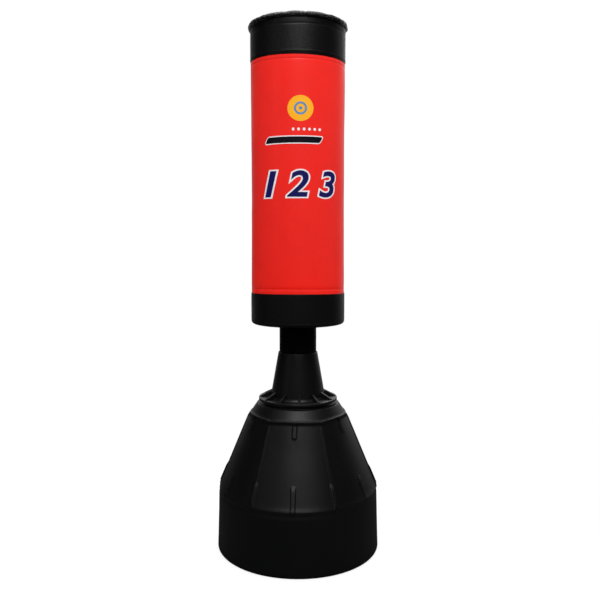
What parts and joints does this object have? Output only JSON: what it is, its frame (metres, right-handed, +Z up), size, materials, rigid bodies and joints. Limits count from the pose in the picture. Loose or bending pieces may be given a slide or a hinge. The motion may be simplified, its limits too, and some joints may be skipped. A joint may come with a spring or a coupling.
{
  "type": "free-standing punching bag",
  "caption": "Free-standing punching bag: a padded cylinder on a plastic tube that turns in, and lifts out of, a gusseted pedestal screwed into a conical tank base filled with water or sand.",
  "frame": {"origin": "centre of the base's foot, on the floor", "axes": "+Z up along the bag's axis; -Y is the front, opposite the fill plug on the back of the tank"},
  "size_m": [0.5263, 0.5264, 1.664],
  "materials": {
    "tank_plastic": "satin",
    "pedestal_plastic": "satin",
    "tube_plastic": "gloss",
    "black_rubber": "matte",
    "white_plastic": "satin",
    "plywood": "matte",
    "screw_steel": "satin",
    "firm_foam": "matte",
    "soft_foam": "matte",
    "red_vinyl": "satin",
    "black_vinyl": "satin",
    "piping_vinyl": "gloss"
  },
  "bodies": {
    "base": {"base_tank": "tank_plastic", "pedestal": "pedestal_plastic", "flange_gasket": "black_rubber", "socket_buffer": "black_rubber"},
    "turn_ring": {"slip_ring": "white_plastic"},
    "bag": {"core_tube": "tube_plastic", "tube_foot_cap": "tube_plastic", "tube_top_cap": "tube_plastic", "bottom_board": "plywood", "top_board": "plywood", "board_screws": "screw_steel", "inner_foam": "firm_foam", "outer_foam": "soft_foam", "top_pad": "soft_foam", "main_cover": "red_vinyl", "bottom_band": "black_vinyl", "top_band": "black_vinyl", "top_cover": "black_vinyl", "bottom_cover": "black_vinyl", "top_piping": "piping_vinyl"},
    "plug_seal_ring": {"plug_seal": "black_rubber"},
    "plug": {"fill_plug": "pedestal_plastic"}
  },
  "joints": [
    {"name": "bag_turn", "type": "hinge", "parent": "base", "child": "turn_ring", "pos_m": [0, 0, 0.444], "axis": [0, 0, 1], "continuous": true},
    {"name": "bag_lift", "type": "slide", "parent": "turn_ring", "child": "bag", "axis": [0, 0, 1], "range_m": [0, 0.204]},
    {"name": "plug_draw", "type": "slide", "parent": "base", "child": "plug_seal_ring", "axis": [0, 0.9229, 0.3851], "range_m": [0, 0.0121]},
    {"name": "plug_turn", "type": "hinge", "parent": "plug_seal_ring", "child": "plug", "pos_m": [0, 0.20306, 0.33], "axis": [0, 0.9229, 0.3851], "range_deg": [0, 1080]}
  ],
  "couplings": [
    {"joint": "plug_draw", "follows": "plug_turn", "m_per_rad": 0.00063662}
  ]
}
